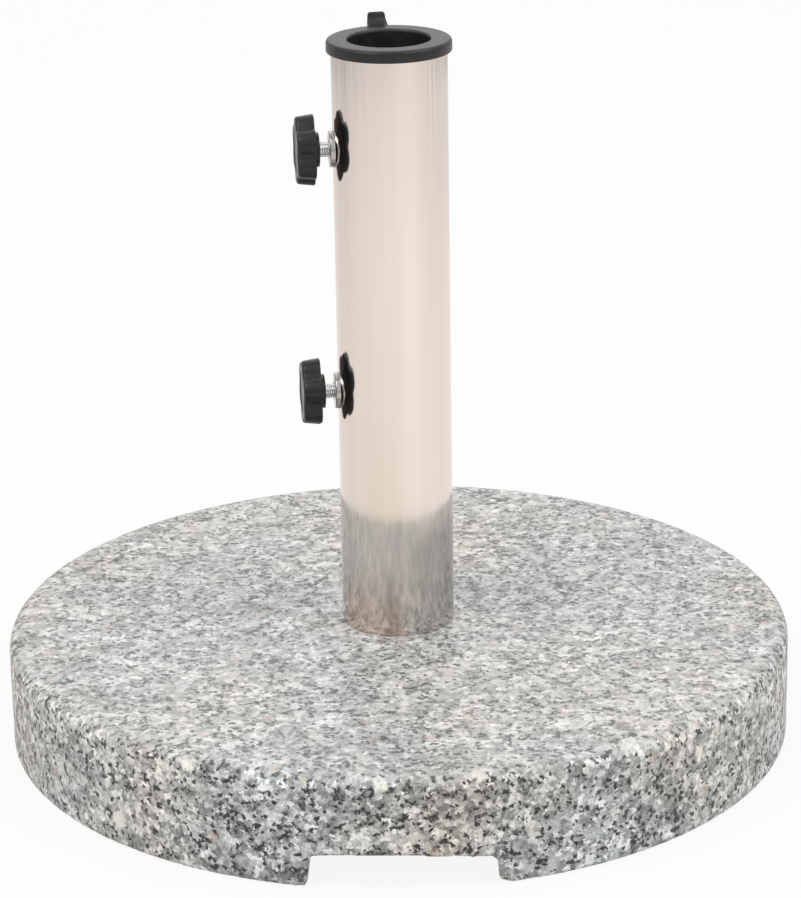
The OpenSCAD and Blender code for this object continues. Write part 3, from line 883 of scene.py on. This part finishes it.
def tab_solid(flange_radius, top):
    """The finger tab: a strip that leaves the rim level and bends up, with rounded edges and tip."""
    bend = (TAB_REACH ** 2 + TAB_RISE ** 2) / (2 * TAB_RISE)
    sweep = math.asin(TAB_REACH / bend)
    root = flange_radius - FLANGE_EDGE
    length = bend * sweep
    tip = TAB_THICKNESS / 2
    stations = [(-TAB_ROOT, 1.0)] + [(length * j / TAB_STEPS, 1.0) for j in range(TAB_STEPS + 1)]
    stations += [(length + tip * math.sin(a), math.cos(a)) for a in TAB_TIP_ANGLES]
    rings = []
    for along, share in stations:
        bent = max(0.0, min(along, length)) / bend
        straight = along if along < 0 else max(0.0, along - length)
        left = length + tip - along
        pinch = 0.0
        if left < TAB_TIP_ROUND:
            pinch = TAB_TIP_ROUND - math.sqrt(max(0.0, TAB_TIP_ROUND ** 2 - (TAB_TIP_ROUND - left) ** 2))
        narrowing = (TAB_WIDTH - TAB_TIP_WIDTH) / 2 * max(0.0, along) / (length + tip)
        half_width = TAB_WIDTH / 2 - narrowing - pinch
        half_thick = TAB_THICKNESS / 2 * share
        middle = bend + TAB_THICKNESS / 2
        x0 = root + middle * math.sin(bent) + straight * math.cos(bent)
        z0 = top + bend - middle * math.cos(bent) + straight * math.sin(bent)
        across = (-math.sin(bent), math.cos(bent))
        r = min(TAB_EDGE, half_thick * 0.95)
        plan = []
        for cx, cy, start in ((half_width - r, half_thick - r, 0), (r - half_width, half_thick - r, 90),
                              (r - half_width, r - half_thick, 180), (half_width - r, r - half_thick, 270)):
            plan += arc((cx, cy), r, start, start + 90, 4)
        rings.append([(x0 + across[0] * h, -w, z0 + across[1] * h) for w, h in plan])
    tab = loft("tab", rings)
    tab.data.transform(Matrix.Rotation(TAB_AZIMUTH, 4, "Z"))
    return tab


# ---------------------------------------------------------------- clamping screws

STUD_RADIUS = 4.0 * MM
STUD_ROOT = 3.3 * MM
STUD_PITCH = 1.25 * MM
STUD_IN_GRIP = 8.0 * MM
STUD_BORE = 4.05 * MM
PIVOT_RADIUS = 2.0 * MM
PIVOT_EDGE = 0.3 * MM
STUD_END = 0.2 * MM                 # how much less than the root the thread's end face measures
STUD_LEAD = 0.6 * MM                # height of the cone between the end face and the thread
PIVOT_PLAY = 0.05 * MM
LOBES = 6
GRIP_RADIUS = 18.7 * MM
LOBE_RADIUS = 7.5 * MM
VALLEY_RADIUS = 15.6 * MM
HUB_RADIUS = 9.0 * MM
HUB_HEIGHT = 2.4 * MM
HUB_EDGE = 0.5 * MM
HEAD_ROOT = 12.5 * MM               # radius where the head's flat inner face meets its lobes
GRIP_DRAFT = 0.9 * MM
GRIP_INNER_EDGE = 0.9 * MM
GRIP_OUTER_EDGE = 1.8 * MM
# Radius and depth of the steps down into the dish in the knob's outer face.
DISH = [(12.2 * MM, 0), (11.6 * MM, 0.15 * MM), (11.2 * MM, 0.5 * MM), (6.0 * MM, 0.6 * MM)]
KNOB_TURNS = {"upper": math.radians(1), "lower": math.radians(-9)}
INSERT_RIM = 9.5 * MM
INSERT_LIP = 2.8 * MM
INSERT_BULGE = 7.0 * MM
INSERT_SEAT_EDGE = 0.3 * MM
INSERT_RIM_ROUND = 0.6 * MM
INSERT_MOUTH = [(1.0 * MM, 0), (0.2 * MM, 0.8 * MM), (0, 1.2 * MM)]    # wider than the bore; depth
BULGE_EDGE = 0.4 * MM
BULGE_HEIGHT = 1.0 * MM
PAD_RADIUS = 3.25 * MM
PAD_NOSE = 1.2 * MM
PAD_NOSE_ROUND = 0.6 * MM
PAD_EDGE = 0.3 * MM
PAD_FLOOR = 0.9 * MM
PAD_MOUTH = 0.2 * MM


def star_points(turn):
    """The knob's outline and its outward normals: lobe arcs joined by tangent valley arcs."""
    orbit = GRIP_RADIUS - LOBE_RADIUS
    half = math.pi / LOBES
    c = math.cos(half)
    top = orbit ** 2 + VALLEY_RADIUS ** 2 - 2 * orbit * VALLEY_RADIUS * c - LOBE_RADIUS ** 2
    valley = top / (2 * LOBE_RADIUS - 2 * VALLEY_RADIUS + 2 * orbit * c)
    far = VALLEY_RADIUS + valley
    reach = math.atan2(far * math.sin(half), far * c - orbit)
    points = []
    for i in range(LOBES):
        base = turn + 2 * math.pi * i / LOBES
        for a in np.linspace(-reach, reach, 15)[:-1]:
            x, y = orbit + LOBE_RADIUS * math.cos(a), LOBE_RADIUS * math.sin(a)
            points.append((x, y, math.cos(a), math.sin(a), base))
        cx, cy = far * c, far * math.sin(half)
        for a in np.linspace(reach + math.pi, 2 * half + math.pi - reach, 13)[:-1]:
            x, y = cx + valley * math.cos(a), cy + valley * math.sin(a)
            points.append((x, y, -math.cos(a), -math.sin(a), base))
    outline = []
    for x, y, nx, ny, base in points:
        ca, sa = math.cos(base), math.sin(base)
        outline.append((x * ca - y * sa, x * sa + y * ca, nx * ca - ny * sa, nx * sa + ny * ca))
    return outline


def make_grip(which, material):
    """The star knob, with a hub and a blind hole towards the tube, and a shallow dish outside."""
    hub_face, outer = span(which + "_grip", which)
    head_foot = hub_face + HUB_HEIGHT
    star = star_points(KNOB_TURNS[which])
    angles = [math.atan2(y, x) for x, y, _, _ in star]

    def star_ring(inset, height):
        return [(x - nx * inset, y - ny * inset, height) for x, y, nx, ny in star]

    e = HUB_EDGE
    inner, rim = GRIP_INNER_EDGE, GRIP_OUTER_EDGE
    rings = [circle(STUD_RADIUS, hub_face + STUD_IN_GRIP, angles)]
    rings += [circle(STUD_RADIUS, hub_face + e, angles), circle(STUD_RADIUS + e, hub_face, angles)]
    rings += arc_rings((HUB_RADIUS - e, hub_face + e), e, -90, 0, 4, angles)
    rings += arc_rings((HUB_RADIUS + e, head_foot - e), e, 180, 90, 4, angles)
    rings += [circle(HEAD_ROOT, head_foot, angles)]
    for a in np.radians(np.linspace(0, 90, 6)):
        rings.append(star_ring(inner * (1 - math.sin(a)), head_foot + inner * (1 - math.cos(a))))
    for a in np.radians(np.linspace(0, 90, 8)):
        rings.append(star_ring(GRIP_DRAFT + rim * (1 - math.cos(a)), outer - rim * (1 - math.sin(a))))
    rings += [circle(r, outer - depth, angles) for r, depth in DISH]
    grip = loft(which + "_star_knob", rings)
    grip.data.transform(screw_frame(which))
    smooth(grip, 50)
    return finish_piece(grip, which + "_knob", "knob_plastic", material, which + "_grip")


def make_stud(which, material):
    """The screw: a thin pivot that turns in the pad, then a thread that runs on into the knob."""
    low, high = span(which + "_stud", which)
    shoulder = span(which + "_pad", which)[1] + PIVOT_PLAY
    angles = even_angles(48)
    e = PIVOT_EDGE
    rings = [circle(PIVOT_RADIUS - e, low, angles), circle(PIVOT_RADIUS, low + e, angles)]
    rings += [circle(PIVOT_RADIUS, shoulder, angles), circle(STUD_ROOT - STUD_END, shoulder, angles)]
    rings += thread_rings(STUD_RADIUS, STUD_ROOT, STUD_PITCH, shoulder + STUD_LEAD, high)
    stud = loft(which + "_threaded_stud", rings)
    stud.data.transform(screw_frame(which))
    smooth(stud, 25)
    return finish_piece(stud, which + "_knob", "zinc", material, which + "_stud")


def make_insert(which, material):
    """The flanged insert: a flat flange with a rounded rim outside, and a swaged bulge inside."""
    low, high = span(which + "_insert", which)
    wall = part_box("support_tube")[1].x
    inside = wall - TUBE_WALL
    seat = high - INSERT_LIP
    rim, bulge, e = INSERT_RIM, INSERT_BULGE, BULGE_EDGE
    bulge_top = min(seat - TUBE_WALL, math.sqrt(inside ** 2 - bulge ** 2)) - 0.05 * MM
    bulge_foot = bulge_top - BULGE_HEIGHT
    outline = [(STUD_BORE + e, low), (INSERT_SHANK, low), (INSERT_SHANK, bulge_foot - BULGE_HEIGHT)]
    outline += [(bulge - e, bulge_foot - e), (bulge, bulge_foot), (bulge, bulge_top - 0.3 * MM)]
    outline += [(bulge - e, bulge_top), (INSERT_SHANK, bulge_top), (INSERT_SHANK, seat)]
    foot, head = INSERT_SEAT_EDGE, INSERT_RIM_ROUND
    outline += arc((rim - foot, seat + foot), foot, -90, 0, 3)
    outline += arc((rim - head, high - head), head, 0, 90, 5)
    outline += [(STUD_BORE + wider, high - depth) for wider, depth in INSERT_MOUTH]
    outline += [(STUD_BORE, low + e)]
    insert = lathe(which + "_flanged_insert", outline, 96)
    insert.data.transform(screw_frame(which))
    smooth(insert, 25)
    return finish_piece(insert, "base", "nickel", material, which + "_insert")


def make_pad(which, material):
    """The cap on the screw's end, with a rounded nose and a blind hole for the pivot."""
    low, high = span(which + "_pad", which)
    bore = PIVOT_RADIUS + PIVOT_PLAY
    nose, e = PAD_NOSE_ROUND, PAD_EDGE
    angles = even_angles(64)
    rings = [circle(PAD_NOSE, low, angles)]
    rings += arc_rings((PAD_RADIUS - nose, low + nose), nose, -90, 0, 5, angles)
    rings += arc_rings((PAD_RADIUS - e, high - e), e, 0, 90, 3, angles)
    rings += [circle(bore + PAD_MOUTH, high, angles), circle(bore, high - PAD_MOUTH, angles)]
    rings += [circle(bore, low + PAD_FLOOR, angles)]
    pad = loft(which + "_swivel_pad", rings)
    pad.data.transform(screw_frame(which))
    smooth(pad, 40)
    return finish_piece(pad, which + "_pad", "pad_plastic", material, which + "_pad")


# ---------------------------------------------------------------- studio

FLOOR_REACH = 12
FLOOR_GLOW = 0.89
FLOOR_COLOUR = (0.075, 0.075, 0.075)


def make_floor():
    """A flat floor that gives off light of its own, so that it looks near white."""
    mesh = bpy.data.meshes.new("floor")
    corners = [(x * FLOOR_REACH, y * FLOOR_REACH, 0) for x, y in ((-1, -1), (1, -1), (1, 1), (-1, 1))]
    mesh.from_pydata(corners, [], [(0, 1, 2, 3)])
    floor = add_object("floor", mesh)
    s = Shader("floor")
    glow = s.done(color=FLOOR_COLOUR, roughness=0.9, specular=0.0, emission=(1, 1, 1), glow=FLOOR_GLOW)
    mesh.materials.append(glow)
    floor.visible_diffuse = False


CARD_INNER, CARD_OUTER = 0.216, 2.4
CARD_TINT = (1.065, 0.995, 0.955)
CARD_SPAN = 1600                    # millimetres from the middle at which the ramps below end
CARD_FRONT = [(0.26, 0.97), (0.47, 1.0), (0.61, 1.0), (0.91, 0.93), (0.95, 0.90), (1.0, 0.80)]
CARD_FAR = [(0.85, 0.0), (0.97, 1.0)]
CARD_BACK = [(0.26, 0.93), (0.47, 0.91), (0.61, 0.88), (0.91, 0.79), (0.95, 0.75), (1.0, 0.61)]
FRONT_HALF = 0.7                    # half the angle, in radians, that counts as the card's front
RAYS = 9.0
RAY_NEAR, RAY_FAR = 0.09, 0.6
SEAM_HALF, SEAM_FADE = 0.1, 1.4     # the rays' gap at the back, and how fast they fade in beside it
RIGHT_GAIN, RIGHT_FAR_GAIN = 0.045, 0.12


def make_card():
    """A card lying on the floor that only reflections show. It is warm and falls off with the distance,
    most towards the back. Faint rays, which fade out at its seam in the back, give the polished tube its
    soft lengthwise bands, and its right side is a little brighter."""
    angles = even_angles(64)
    card = loft("card", [circle(r, 0.5 * MM, angles) for r in (CARD_OUTER, CARD_INNER)], caps=False)
    for way in ("camera", "diffuse", "transmission", "volume_scatter", "shadow"):
        setattr(card, "visible_" + way, False)
    s = Shader("card")
    point = s.position()
    axes = s.add("SeparateXYZ", {0: point}).outputs
    turn = s.math("ARCTAN2", axes[0], s.times(axes[1], -1.0))
    off = s.math("ABSOLUTE", turn)
    away = s.minus(off, FRONT_HALF, clamp=True)
    reach = s.math("DIVIDE", s.add("VectorMath", {0: point}, operation="LENGTH").outputs["Value"], CARD_SPAN)
    level = s.mix(away, s.ramp(reach, CARD_FRONT), s.ramp(reach, CARD_BACK))
    far = s.ramp(reach, CARD_FAR)
    rays = s.add("TexNoise", {"W": turn, "Scale": RAYS, "Detail": 2.0}, noise_dimensions="1D").outputs[0]
    seam = s.times(s.minus(math.pi - SEAM_HALF, off), SEAM_FADE, clamp=True)
    strength = s.plus(RAY_NEAR, s.times(far, RAY_FAR))
    strength = s.times(s.times(strength, s.plus(away, 0.2)), seam)
    sway = s.times(s.minus(rays, 0.5), strength)
    side = s.math("SINE", turn)
    right = s.times(s.math("MAXIMUM", side, 0.0), s.times(far, RIGHT_FAR_GAIN))
    sway = s.plus(s.plus(sway, s.times(side, RIGHT_GAIN)), right)
    level = s.mix(1.0, level, s.plus(1.0, sway), "MULTIPLY")
    colour = s.mix(1.0, level, CARD_TINT, "MULTIPLY")
    glow = s.done(color=(0, 0, 0), roughness=1.0, specular=0.0, emission=colour, glow=1.0)
    card.data.materials.append(glow)


# Pairs of a height, from 0 straight down to 1 straight up, and the light there.
SKY = ((0.45, 0.40), (0.5, 0.55), (0.68, 0.85), (1.0, 1.0))
# Name, place, size in metres and power in watts.
LAMPS = (
    ("key", (-1.2, -1.0, 2.2), 1.6, 22),
    ("fill", (1.5, -0.6, 1.9), 1.6, 16),
    ("back", (0.0, 2.4, 1.5), 1.8, 5))
LAMP_AIM = Vector((0, 0, 0.1))      # a little above the slab's middle


def make_sky():
    """A soft white dome, darker towards the ground."""
    s = Shader("studio", "worlds")
    bpy.context.scene.world = s.owner
    up = s.add("SeparateXYZ", {0: s.add("TexCoord").outputs["Generated"]}).outputs[2]
    light = s.ramp(s.plus(s.times(up, 0.5), 0.5), SKY)
    s.set(s.tree.nodes["Background"], {"Color": light, "Strength": 1.0})


def make_lamps():
    """Three square area lamps, all aimed at one place."""
    for name, place, size, power in LAMPS:
        data = bpy.data.lights.new(name, "AREA")
        data.energy = power
        data.size = size
        lamp = bpy.data.objects.new(name, data)
        lamp.location = place
        lamp.rotation_euler = (LAMP_AIM - Vector(place)).to_track_quat("-Z", "Y").to_euler()
        bpy.context.scene.collection.objects.link(lamp)


# ---------------------------------------------------------------- assembly

make_camera()
make_slab(granite_material())
make_tube(polished_steel_material())

make_foot_plate(plated_material("raw_steel", (0.50, 0.49, 0.47), 0.38, 0.25))
make_weld(weld_material())
zinc = plated_material("zinc", (0.86, 0.87, 0.88), 0.15, 0.12)
make_foot_nut(zinc)
make_bolt(zinc)
make_wide_washer(zinc)
make_spring_washer(zinc)

make_collar(plastic_material("collar_plastic", (0.012, 0.012, 0.0125), 0.36, 0.012))
# The nickel's colour is darker than plain nickel: painted reflection of the black knob over each insert.
nickel = plated_material("nickel", (0.47, 0.455, 0.43), 0.14, 0.06)
knob_plastic = plastic_material("knob_plastic", (0.009, 0.009, 0.0095), 0.31, 0.02)
nylon = nylon_material()
for which in SCREWS:
    make_insert(which, nickel)
    make_stud(which, zinc)
    make_grip(which, knob_plastic)
    make_pad(which, nylon)

make_floor()
make_card()
make_sky()
make_lamps()
bpy.context.scene.view_settings.view_transform = "Standard"
